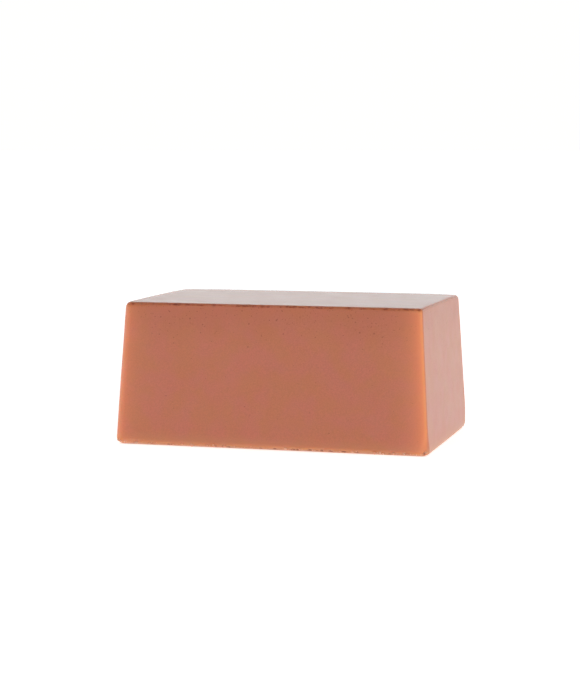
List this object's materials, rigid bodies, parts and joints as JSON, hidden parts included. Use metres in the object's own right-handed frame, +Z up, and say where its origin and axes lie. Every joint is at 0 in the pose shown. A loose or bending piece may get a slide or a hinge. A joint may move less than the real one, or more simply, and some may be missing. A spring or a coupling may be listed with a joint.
{
  "type": "clay bar",
  "caption": "Solid tapered block of translucent terracotta clay compound with rounded edges, rubbed by hand over wet car paint to lift dirt.",
  "frame": {"origin": "centre of the flat base that the bar rests on", "axes": "+X along the bar's length, +Y across it from the front wall to the back wall, +Z up from the wide base to the narrower top face"},
  "size_m": [0.0778, 0.0506, 0.0346],
  "materials": {
    "clay_compound": "satin"
  },
  "bodies": {
    "root": {"clay_bar": "clay_compound"}
  },
  "joints": []
}
